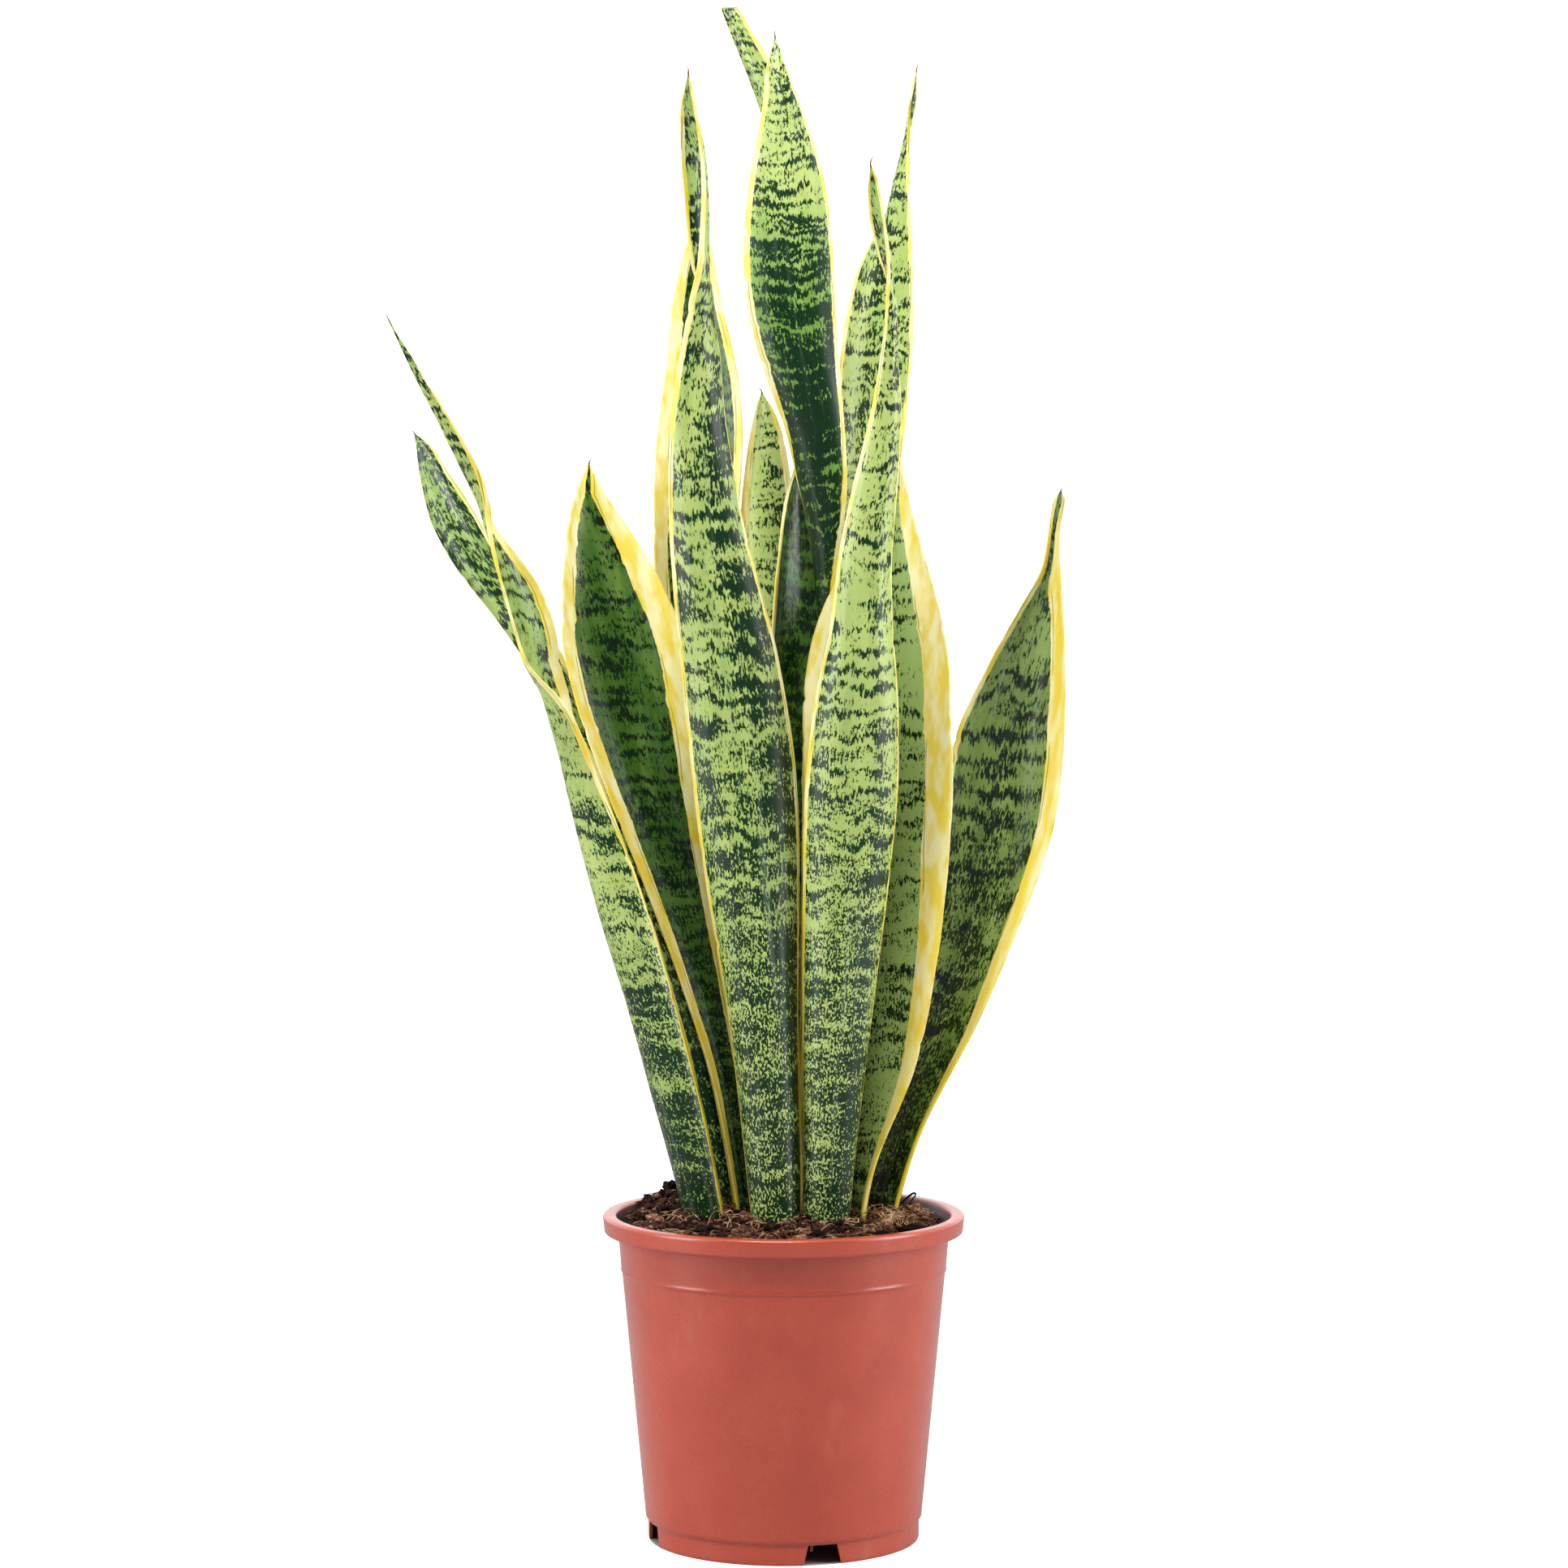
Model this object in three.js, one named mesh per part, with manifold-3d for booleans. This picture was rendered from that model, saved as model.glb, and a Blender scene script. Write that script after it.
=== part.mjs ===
// Potted snake plant (Dracaena trifasciata 'Laurentii'): thirteen upright leaves in a mound of
// potting soil, in a round thin-walled nursery pot that stands on its foot ring.
// Millimetres, +Z up, front towards -Y. Each leaf, the soil and the pot is one closed solid.
import * as THREE from "three";
import Module from "manifold-3d";
import { mergeVertices } from "three/addons/utils/BufferGeometryUtils.js";
import { ParametricGeometry } from "three/addons/geometries/ParametricGeometry.js";

const wasm = await Module();
wasm.setup();

// ---- driving dimensions --------------------------------------------------------------------
const TURN = 2 * Math.PI;
const GAP = 0.3; // air between pieces that touch

const POT_SIDES = 48;
const POT_HEIGHT = 188;
const RIM_RADIUS = 105;
const RIM_MOUTH_RADIUS = 97.6;
const LIP_HEIGHT = 8;
const COLLAR_RADIUS = 96;
const COLLAR_FOOT = 157; // height of the seam under the collar
const BODY_TOP_RADIUS = 94;
const BODY_FOOT_RADIUS = 80.5;
const FOOT_RADIUS = 78.8;
const FOOT_HEIGHT = 12;
const WALL = 1.8;
const FLOOR_THICKNESS = 2;

const NOTCH_ANGLE = THREE.MathUtils.degToRad(-73.6); // the notch right of the front
const NOTCH_COUNT = 4;
const NOTCH_TOP_WIDTH = 17;
const NOTCH_FLOOR_WIDTH = 23;
const RIB_COUNT = 8;
const RIB_TURN = THREE.MathUtils.degToRad(-2.5); // ribs stand a little to one side of the notches
const RIB_THICKNESS = 1.6;
const RIB_LENGTH = 30;
const RIB_HEIGHT = 7;
const DRAIN_COUNT = 8;
const DRAIN_RADIUS = 5;
const DRAIN_CIRCLE = 50;

const SOIL_LEVEL = 180.5;
const SOIL_FOOT_INSET = 3.5; // clears the rounded corner between wall and floor
const SOIL_SIDES = 40;
const SOIL_RINGS = 9;
// [x, y, rise, spread] of each rise or hollow in the soil
const SOIL_MOUNDS = [
  [-6, 4, 8, 42],
  [-68, 36, 13, 22],
  [-70, -18, 5, 24],
  [78, 10, -3, 26],
  [40, 62, 4, 30],
];

const LEAF_FOOT_THICKNESS = 7;
const LEAF_BLADE_THICKNESS = 1.6;
const LEAF_FACE_STEPS = 6; // facets across one face
const LEAF_STEPS_PER_ROW = 2;
const MOST_THICKNESS_SHARE = 0.3; // of the width round the section, where a blade is narrow
const SOCKET_GROWTH = 0.8; // of each leaf's skin, for the hollow it leaves in the soil
const FOOT_ROOM = 0.5; // of a leaf's first row, left free below its foot

// Each leaf from its buried foot to its tip. A row is one level section of the blade:
// [height, margin A x, margin A y, margin B x, margin B y, bow]. The section is an arc from margin
// A to margin B, and bow is how far it bulges to the right of the way from A to B seen from above.
const LEAVES = {
  front_center: [
    [165, -15, -2, 8, -2, 11],
    [187, -18, -4, 9, -4, 12],
    [234, -23, -5, 9, -5, 13],
    [306, -32, -8, 8, -8, 14],
    [377, -44, -13, 9, -13, 14],
    [447, -53, -20, 7, -20, 13],
    [517, -60, -28, -4, -28, 11],
    [586, -65, -36, -22, -36, 9],
    [646, -64, -46, -33, -40, 7],
    [687, -58, -54, -37, -42, 6],
    [714, -53, -59, -44, -45, 7],
    [732, -49, -62, -52, -48, 8],
    [772, -46, -67, -56, -51, 8],
    [799, -47, -70, -58, -56, 7],
    [821, -50, -73, -58, -64, 3],
    [838, -53, -76, -53, -76, 0],
  ],
  front_right: [
    [165, 13, -2, 38, -2, 10],
    [187, 12, -4, 38, -4, 11],
    [233, 12, -6, 42, -6, 12],
    [290, 11, -10, 49, -10, 13],
    [363, 11, -17, 58, -17, 13],
    [432, 12, -26, 65, -26, 13],
    [489, 18, -35, 65, -35, 12],
    [527, 26, -41, 62, -41, 11],
    [568, 31, -48, 61, -48, 9],
    [609, 39, -56, 64, -56, 7],
    [651, 49, -64, 66, -62, 5],
    [686, 55, -71, 63, -67, 4],
    [713, 57, -76, 61, -70, 3],
    [739, 57, -81, 52, -72, 3.5],
    [764, 54, -85, 47, -78, 3],
    [779, 51, -88, 47, -84, 1.5],
    [786, 48, -90, 48, -90, 0],
  ],
  front_left_folded: [
    [165, -31, 12, -32, -9, 20],
    [200, -37, 12, -37, -10, 21],
    [259, -49, 9, -49, -13, 25],
    [310, -62, 7, -62, -17, 26],
    [357, -76, 6, -75, -21, 27],
    [403, -92, 6, -90, -26, 24],
    [434, -103, 4, -102, -30, 20],
    [456, -111, 1, -110, -35, 17],
    [476, -120, -4, -118, -41, 14],
    [492, -124, -6, -129, -45, 11],
    [508, -128, -12, -144, -48, 9],
    [526, -130, -18, -151, -50, 8],
    [550, -138, -24, -158, -52, 7],
    [568, -149, -32, -162, -55, 6],
    [584, -161, -40, -164, -57, 5],
    [600, -170, -48, -165, -62, 4.5],
    [619, -181, -57, -171, -66, 4],
    [645, -193, -68, -185, -74, 3],
    [672, -206, -78, -201, -82, 2],
    [699, -218, -90, -218, -90, 0],
  ],
  back_left_leaning: [
    [159, -42, 42, -24, 38, 7],
    [190, -45, 43, -26, 39, 8],
    [276, -64, 46, -38, 42, 9],
    [353, -92, 51, -66, 47, 9],
    [420, -116, 57, -93, 53, 9],
    [468, -133, 62, -113, 59, 9],
    [506, -152, 67, -128, 64, 8],
    [535, -172, 72, -145, 69, 8],
    [564, -195, 78, -163, 75, 8],
    [593, -211, 85, -181, 83, 7],
    [622, -218, 94, -201, 93, 4],
    [637, -220, 98, -212, 98, 2],
    [645, -222, 102, -222, 102, 0],
  ],
  left_broad: [
    [164, -24, 6, -7, 10, -10],
    [185, -26, 5, -8, 10, -11],
    [261, -40, 6, -17, 11, -12],
    [323, -60, 8, -25, 14, -13],
    [384, -83, 10, -34, 17, -14],
    [432, -102, 12, -40, 20, -15],
    [479, -119, 15, -48, 23, -15],
    [521, -129, 19, -57, 26, -13],
    [564, -128, 22, -76, 30, -10],
    [592, -125, 28, -94, 34, -7],
    [611, -120, 34, -107, 37, -3],
    [625, -114, 40, -114, 40, 0],
  ],
  right_broad: [
    [164, 30, 14, 44, 0, -8],
    [193, 28, 12, 46, -2, -9],
    [219, 25, 11, 53, -4, -10],
    [238, 22, 10, 61, -5, -11],
    [272, 20, 8, 75, -8, -12],
    [315, 16, 5, 85, -12, -13],
    [367, 13, 1, 92, -16, -14],
    [433, 11, -5, 97, -20, -14],
    [480, 11, -9, 96, -22, -13],
    [517, 15, -10, 94, -22, -12],
    [549, 26, -10, 87, -20, -10],
    [582, 44, -8, 77, -16, -7],
    [615, 60, -5, 69, -9, -3],
    [634, 65, -2, 65, -2, 0],
  ],
  right_leaning: [
    [163, 47, 18, 61, 8, -7],
    [189, 50, 17, 65, 7, -8],
    [237, 61, 16, 80, 5, -10],
    [295, 74, 15, 110, 0, -12],
    [352, 86, 13, 134, -6, -13],
    [409, 93, 10, 154, -12, -14],
    [465, 99, 5, 161, -18, -13],
    [508, 118, -4, 161, -24, -10],
    [540, 135, -16, 159, -28, -7],
    [563, 147, -27, 157, -32, -4],
    [586, 151, -36, 157, -37, -2],
    [601, 153, -41, 160, -41, -1],
    [607, 157, -43, 157, -43, 0],
  ],
  center_tall: [
    [163, 12, 24, 30, 18, 7],
    [194, 12, 25, 31, 19, 7],
    [303, 14, 35, 33, 28, 7],
    [422, 20, 36, 34, 24, 7],
    [493, 27, 32, 31, 12, 6],
    [554, 25, 26, 27, 4, 8],
    [587, 16, 22, 31, 2, 9],
    [615, 8, 16, 33, 0, 9],
    [643, 1, 8, 33, -1, 8],
    [676, -11, 2, 32, -1, 8],
    [713, -21, 0, 30, 0, 8],
    [755, -23, 4, 28, 4, 8],
    [793, -19, 9, 22, 9, 7],
    [830, -12, 15, 10, 15, 5],
    [852, -10, 19, 2, 19, 3],
    [871, -5, 23, -5, 23, 0],
  ],
  center_short: [
    [162, -3, 8, 10, 14, -6],
    [193, -3, 9, 10, 15, -6],
    [303, -4, 11, 12, 19, -7],
    [422, -7, 13, 14, 24, -8],
    [493, -10, 15, 16, 30, -9],
    [545, -9, 20, 23, 38, -9],
    [573, -7, 25, 18, 42, -7],
    [602, -4, 31, 10, 44, -4],
    [621, 1, 37, 5, 44, -2],
    [632, 4, 45, 4, 45, 0],
  ],
  back_center_short: [
    [159, -2, 43, 11, 40, 6],
    [190, -3, 44, 11, 41, 6],
    [300, -10, 46, 9, 43, 7],
    [420, -19, 50, 9, 46, 8],
    [516, -25, 56, 9, 52, 8],
    [564, -26, 60, 9, 56, 8],
    [602, -25, 63, 6, 60, 7],
    [636, -21, 67, 1, 64, 5],
    [655, -17, 70, -5, 68, 3],
    [668, -13, 73, -13, 73, 0],
  ],
  back_left_broad: [
    [160, -23, 30, -10, 26, -5],
    [191, -25, 31, -10, 27, -6],
    [277, -35, 38, -15, 34, -8],
    [372, -50, 44, -19, 40, -10],
    [468, -66, 48, -25, 44, -11],
    [535, -75, 53, -28, 48, -11],
    [592, -77, 58, -27, 53, -11],
    [640, -75, 63, -24, 58, -10],
    [679, -70, 67, -27, 63, -8],
    [717, -66, 72, -36, 68, -6],
    [751, -59, 77, -42, 74, -3],
    [775, -50, 82, -50, 82, 0],
  ],
  back_center_tallest: [
    [157, 4, 62, 18, 57, 6],
    [188, 4, 63, 19, 58, 6],
    [299, 2, 65, 19, 60, 8],
    [419, 2, 67, 21, 61, 9],
    [515, 8, 75, 25, 69, 9],
    [612, 9, 85, 27, 79, 8],
    [685, 3, 94, 25, 88, 8],
    [758, -1, 104, 22, 98, 8],
    [807, -5, 110, 16, 105, 7],
    [856, -20, 117, -2, 113, 6],
    [886, -32, 121, -19, 118, 4],
    [901, -38, 123, -28, 121, 3],
  ],
  back_right_twisted: [
    [161, 35, 40, 50, 32, 6],
    [192, 36, 41, 52, 33, 6],
    [302, 36, 42, 54, 34, 8],
    [421, 33, 42, 55, 31, 9],
    [516, 31, 48, 57, 36, 9],
    [592, 29, 55, 65, 42, 9],
    [650, 30, 61, 72, 48, 9],
    [693, 34, 66, 76, 53, 8],
    [722, 39, 70, 77, 57, 8],
    [746, 47, 73, 76, 60, 8],
    [765, 58, 76, 75, 63, 8],
    [779, 68, 78, 75, 66, 9],
    [794, 73, 80, 75, 68, 8],
    [809, 75, 82, 75, 71, 5],
    [821, 76, 83, 75, 74, 3],
    [838, 79, 85, 75, 78, 2],
    [859, 79, 86, 79, 86, 0],
  ],
};

// ---- solids --------------------------------------------------------------------------------
function plainGeometry(geometry) {
  const bare = geometry.clone();
  bare.deleteAttribute("normal");
  bare.deleteAttribute("uv");
  const merged = mergeVertices(bare, 1e-4);
  const corners = Array.from(merged.index.array);
  const kept = [];
  for (let i = 0; i < corners.length; i += 3) {
    const [a, b, c] = corners.slice(i, i + 3);
    if (a !== b && b !== c && c !== a) kept.push(a, b, c);
  }
  merged.setIndex(kept);
  return merged;
}

function solid(geometry) {
  const plain = plainGeometry(geometry);
  return new wasm.Manifold(
    new wasm.Mesh({
      numProp: 3,
      vertProperties: new Float32Array(plain.attributes.position.array),
      triVerts: new Uint32Array(plain.index.array),
    }),
  );
}

function geometryOf(manifold) {
  const mesh = manifold.getMesh();
  const geometry = new THREE.BufferGeometry();
  geometry.setAttribute("position", new THREE.BufferAttribute(mesh.vertProperties, 3));
  geometry.setIndex(new THREE.BufferAttribute(mesh.triVerts, 1));
  geometry.computeVertexNormals();
  return geometry;
}

function piece(name, geometry, colour, roughness) {
  const material = new THREE.MeshStandardMaterial({ color: colour, roughness, metalness: 0 });
  const mesh = new THREE.Mesh(geometry, material);
  mesh.name = name;
  return mesh;
}

// ---- leaves --------------------------------------------------------------------------------
function bladeThickness(along, arcLength) {
  const taper = (1 - along) ** 2;
  const full = LEAF_BLADE_THICKNESS + (LEAF_FOOT_THICKNESS - LEAF_BLADE_THICKNESS) * taper;
  return Math.min(full, MOST_THICKNESS_SHARE * arcLength);
}

// The same leaf reaching a little further down, for the hollow that it leaves in the soil.
function deeperRows([foot, next, ...rest]) {
  const deeper = foot.map((value, i) => value + FOOT_ROOM * (value - next[i]));
  return [deeper, next, ...rest];
}

// A leaf whose skin stands `grow` outside the real one; grow 0 is the leaf itself.
function leafGeometry(rows, grow) {
  const smooth = (points) => new THREE.CatmullRomCurve3(points, false, "centripetal");
  const marginA = smooth(rows.map(([z, ax, ay]) => new THREE.Vector3(ax, ay, z)));
  const marginB = smooth(rows.map(([z, , , bx, by]) => new THREE.Vector3(bx, by, z)));
  const bows = smooth(rows.map(([z, , , , , bow]) => new THREE.Vector3(bow, 0, z)));
  const steps = (rows.length - 1) * LEAF_STEPS_PER_ROW;
  const around = 2 * LEAF_FACE_STEPS;

  const place = (u, v, target) => {
    const a = marginA.getPoint(v);
    const b = marginB.getPoint(v);
    const chord = b.clone().sub(a);
    const width = Math.max(chord.length(), 1e-6);
    chord.divideScalar(width);
    const side = new THREE.Vector3(chord.y, -chord.x, 0).normalize();
    const half = width / 2;
    const bend = 2 * Math.atan(bows.getPoint(v).x / half);
    const straight = Math.abs(bend) < 1e-3;
    const radius = straight ? 0 : half / Math.sin(bend);
    const arcLength = straight ? width : 2 * radius * bend;
    const widening = 1 + (2 * grow) / arcLength;

    const corner = Math.round(u * around) % around;
    const outside = corner <= LEAF_FACE_STEPS;
    const step = outside ? corner : around - corner;
    const across = -Math.cos((Math.PI * step) / LEAF_FACE_STEPS);
    const angle = across * bend * widening;
    const out = straight ? 0 : radius * (Math.cos(angle) - Math.cos(bend));
    const over = straight ? across * half * widening : radius * Math.sin(angle);
    const closing = v === 0 || v === 1 ? 0 : 1;
    const thickness = (bladeThickness(v, arcLength) + 2 * grow) * Math.sqrt(1 - across ** 2) * closing;
    const lift = (outside ? thickness : -thickness) / 2;
    target.copy(a).lerp(b, 0.5);
    target.addScaledVector(chord, over + lift * Math.sin(angle));
    target.addScaledVector(side, out + lift * Math.cos(angle));
  };
  return plainGeometry(new ParametricGeometry(place, around, steps));
}

// ---- soil ----------------------------------------------------------------------------------
function wallRadius(z) {
  const share = (z - FOOT_HEIGHT) / (COLLAR_FOOT - FOOT_HEIGHT);
  const outside = BODY_FOOT_RADIUS + (BODY_TOP_RADIUS - BODY_FOOT_RADIUS) * share;
  return Math.min(outside, BODY_TOP_RADIUS) - WALL;
}

function soilHeight(x, y) {
  const rise = ([mx, my, height, spread]) =>
    height * Math.exp(-((x - mx) ** 2 + (y - my) ** 2) / (2 * spread ** 2));
  return SOIL_MOUNDS.reduce((z, mound) => z + rise(mound), SOIL_LEVEL);
}

function soilGeometry() {
  const bottom = FOOT_HEIGHT + FLOOR_THICKNESS + GAP;
  const topRadius = wallRadius(SOIL_LEVEL) - GAP;
  const place = (u, v, target) => {
    const ring = Math.round(v * (SOIL_RINGS + 1)) - 1; // -1 and 0 are the underside
    const radius = ring < 0 ? 0 : ring === 0 ? wallRadius(bottom) - SOIL_FOOT_INSET
      : topRadius * (1 - (ring - 1) / (SOIL_RINGS - 1));
    const angle = TURN * (u % 1);
    target.set(radius * Math.cos(angle), radius * Math.sin(angle), bottom);
    if (ring > 0) target.z = soilHeight(target.x, target.y);
  };
  return new ParametricGeometry(place, SOIL_SIDES, SOIL_RINGS + 1);
}

// ---- pot -----------------------------------------------------------------------------------
function potShell() {
  const floorTop = FOOT_HEIGHT + FLOOR_THICKNESS;
  const outline = [
    [0, FOOT_HEIGHT],
    [FOOT_RADIUS - WALL, FOOT_HEIGHT],
    [FOOT_RADIUS - WALL, 0],
    [FOOT_RADIUS, 0],
    [FOOT_RADIUS, FOOT_HEIGHT - 0.5],
    [BODY_FOOT_RADIUS - 0.3, FOOT_HEIGHT + 0.5],
    [BODY_FOOT_RADIUS, FOOT_HEIGHT + 3],
    [BODY_TOP_RADIUS, COLLAR_FOOT - 0.5],
    [BODY_TOP_RADIUS + 0.7, COLLAR_FOOT],
    [COLLAR_RADIUS, POT_HEIGHT - LIP_HEIGHT - 1],
    [RIM_RADIUS - 1.5, POT_HEIGHT - LIP_HEIGHT],
    [RIM_RADIUS, POT_HEIGHT - LIP_HEIGHT + 1.5],
    [RIM_RADIUS, POT_HEIGHT - 2],
    [RIM_RADIUS - 1.5, POT_HEIGHT - 0.4],
    [RIM_RADIUS - 3, POT_HEIGHT],
    [RIM_MOUTH_RADIUS + 1, POT_HEIGHT - 0.6],
    [RIM_MOUTH_RADIUS - 0.6, POT_HEIGHT - 3],
    [COLLAR_RADIUS - WALL, POT_HEIGHT - LIP_HEIGHT - 2],
    [BODY_TOP_RADIUS - WALL + 0.5, COLLAR_FOOT + 1],
    [BODY_TOP_RADIUS - WALL, COLLAR_FOOT - 2],
    [wallRadius(floorTop + 2), floorTop + 2],
    [wallRadius(floorTop) - 1.5, floorTop],
    [0, floorTop],
  ];
  const profile = outline.map(([r, z]) => new THREE.Vector2(r, z));
  return solid(new THREE.LatheGeometry(profile, POT_SIDES).rotateX(Math.PI / 2));
}

// A cutter that points out along +X from the pot's axis, turned to its own angle.
function footNotch(angle) {
  const outline = new THREE.Shape([
    new THREE.Vector2(-NOTCH_FLOOR_WIDTH / 2, -1),
    new THREE.Vector2(NOTCH_FLOOR_WIDTH / 2, -1),
    new THREE.Vector2(NOTCH_TOP_WIDTH / 2, FOOT_HEIGHT - 0.5),
    new THREE.Vector2(-NOTCH_TOP_WIDTH / 2, FOOT_HEIGHT - 0.5),
  ]);
  const cutter = new THREE.ExtrudeGeometry(outline, { depth: 20, bevelEnabled: false });
  cutter.rotateX(Math.PI / 2).rotateZ(Math.PI / 2).translate(FOOT_RADIUS - 10, 0, 0);
  return solid(cutter.rotateZ(angle));
}

function underRib(angle) {
  const overlap = 1; // runs this far into the floor and the foot wall
  const rib = new THREE.BoxGeometry(RIB_LENGTH + overlap, RIB_THICKNESS, RIB_HEIGHT + overlap);
  const centre = FOOT_RADIUS - WALL - RIB_LENGTH / 2 + overlap / 2;
  rib.translate(centre, 0, FOOT_HEIGHT - RIB_HEIGHT / 2 + overlap / 2);
  return solid(rib.rotateZ(angle));
}

function drainHole(x, y) {
  const hole = new THREE.CylinderGeometry(DRAIN_RADIUS, DRAIN_RADIUS, 4 * FLOOR_THICKNESS, 16);
  return solid(hole.rotateX(Math.PI / 2).translate(x, y, FOOT_HEIGHT + FLOOR_THICKNESS / 2));
}

function potSolid() {
  let pot = potShell();
  for (let i = 0; i < RIB_COUNT; i++) {
    pot = pot.add(underRib(NOTCH_ANGLE + RIB_TURN + (TURN * i) / RIB_COUNT));
  }
  for (let i = 0; i < NOTCH_COUNT; i++) {
    pot = pot.subtract(footNotch(NOTCH_ANGLE + (TURN * i) / NOTCH_COUNT));
  }
  pot = pot.subtract(drainHole(0, 0));
  for (let i = 0; i < DRAIN_COUNT; i++) {
    const angle = NOTCH_ANGLE + (TURN * (i + 0.5)) / DRAIN_COUNT;
    pot = pot.subtract(drainHole(DRAIN_CIRCLE * Math.cos(angle), DRAIN_CIRCLE * Math.sin(angle)));
  }
  return pot;
}

// ---- the plant -----------------------------------------------------------------------------
const plant = new THREE.Group();

let soil = solid(soilGeometry());
for (const [name, rows] of Object.entries(LEAVES)) {
  plant.add(piece(`leaf_${name}`, leafGeometry(rows, 0), 0x5e8a3a, 0.45));
  soil = soil.subtract(solid(leafGeometry(deeperRows(rows), SOCKET_GROWTH)));
}
plant.add(piece("soil", geometryOf(soil), 0x3a2a20, 0.95));
plant.add(piece("nursery_pot", geometryOf(potSolid()), 0xb65a45, 0.5));

// The part's origin is on the ground, below the middle of the whole plant.
const box = new THREE.Box3().setFromObject(plant);
const middle = box.getCenter(new THREE.Vector3());
plant.position.set(-middle.x, -middle.y, 0);

export default plant;
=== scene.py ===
# Potted snake plant: thirteen fleshy upright leaves in a mound of peat potting soil, in a moulded
# plastic nursery pot. Metres, +Z up, front towards -Y. Leaf sizes in the tables are millimetres.
import math
import random

import bmesh
import bpy
import numpy as np
from mathutils import Matrix, Vector, noise


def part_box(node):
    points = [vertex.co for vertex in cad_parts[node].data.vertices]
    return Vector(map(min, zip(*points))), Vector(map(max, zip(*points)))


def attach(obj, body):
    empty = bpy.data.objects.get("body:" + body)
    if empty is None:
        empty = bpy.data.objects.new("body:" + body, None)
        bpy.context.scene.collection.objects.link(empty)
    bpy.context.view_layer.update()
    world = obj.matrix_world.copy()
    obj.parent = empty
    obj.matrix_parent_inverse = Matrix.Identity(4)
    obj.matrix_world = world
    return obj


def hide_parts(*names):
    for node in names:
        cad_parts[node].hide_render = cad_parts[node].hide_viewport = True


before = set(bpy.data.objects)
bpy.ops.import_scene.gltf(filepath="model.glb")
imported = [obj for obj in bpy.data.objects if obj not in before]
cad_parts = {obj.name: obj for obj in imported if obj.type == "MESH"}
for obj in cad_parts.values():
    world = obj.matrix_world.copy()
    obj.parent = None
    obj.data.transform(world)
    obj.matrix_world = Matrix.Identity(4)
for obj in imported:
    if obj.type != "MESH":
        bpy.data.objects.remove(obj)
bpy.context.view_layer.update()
MM = 0.001

POT_LOW, POT_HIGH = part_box("nursery_pot")
POT_AXIS = (POT_LOW + POT_HIGH) / 2
POT_AXIS.z = 0


# ---- helpers -------------------------------------------------------------------------------
def colour(code):
    """A linear RGBA colour from an sRGB hex code such as "#f0dc6a"."""
    parts = [int(code[i : i + 2], 16) / 255 for i in (1, 3, 5)]
    linear = [p / 12.92 if p <= 0.04045 else ((p + 0.055) / 1.055) ** 2.4 for p in parts]
    return (*linear, 1.0)


def add(tree, kind, inputs, out=0, **settings):
    """Adds one shader node, sets it, links or fills its inputs, and returns one output."""
    made = tree.nodes.new("ShaderNode" + kind)
    for name, value in settings.items():
        setattr(made, name, value)
    for name, value in inputs.items():
        if isinstance(value, bpy.types.NodeSocket):
            tree.links.new(value, made.inputs[name])
        else:
            made.inputs[name].default_value = value
    return made.outputs[out]


def blend(tree, share, first, second):
    """The first colour turning into the second as the share goes from 0 to 1."""
    return add(tree, "Mix", {0: share, 6: first, 7: second}, out=2, data_type="RGBA")


def ranged(tree, value, low, high, to=(0.0, 1.0), **settings):
    """The value with low to high stretched over the range `to`."""
    limits = {"Value": value, "From Min": low, "From Max": high, "To Min": to[0], "To Max": to[1]}
    return add(tree, "MapRange", limits, **settings)


def cloud(tree, place, scale, detail):
    """Noise read at a place that is multiplied by this scale along each axis."""
    at = add(tree, "VectorMath", {0: place, 1: scale}, operation="MULTIPLY")
    return add(tree, "TexNoise", {"Vector": at, "Scale": 1.0, "Detail": detail})


def new_material(name):
    material = bpy.data.materials.new(name)
    material.use_nodes = True
    return material, material.node_tree, material.node_tree.nodes["Principled BSDF"]


def finished(name, bm, materials, slot, *nodes):
    """Makes the bmesh a smooth piece that rides on the part and replaces these CAD nodes."""
    mesh = bpy.data.meshes.new(name)
    bm.to_mesh(mesh)
    bm.free()
    mesh.shade_smooth()
    piece = bpy.data.objects.new(name, mesh)
    bpy.context.scene.collection.objects.link(piece)
    for material in materials:
        mesh.materials.append(material)
    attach(piece, "root")
    if nodes:
        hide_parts(*nodes)
    return piece


# ---- leaf finish ---------------------------------------------------------------------------
# A fresh leaf of the yellow-edged snake plant. Its skin is thick and waxy: dark jagged cross
# bands on a pale grey-green ground, which break up into mealy grain towards the foot, and a
# plain yellow margin whose very edge dries to a thin tan line.
# The vertices carry three vectors, in millimetres where they are lengths:
#   blade = (across from the midrib, along from the foot, a number of the leaf's own)
#   rim   = (inside the yellow margin's border, from the edge, from the tip)
#   look  = (how pale the ground is, how mealy, how dark), with painted light and shade in the paleness and
#   darkness
BAND_PERIOD = 5.6  # of the noise that makes the cross bands
COMB_WIDTH = 1.15  # of the teeth along a band's edge
COMB_REACH = 12
COMB_LENGTH = 12
GRAIN = 0.85  # of the mealy speckle
VEIN_PITCH = 1.1  # of the fine ribs that run up the leaf


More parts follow.
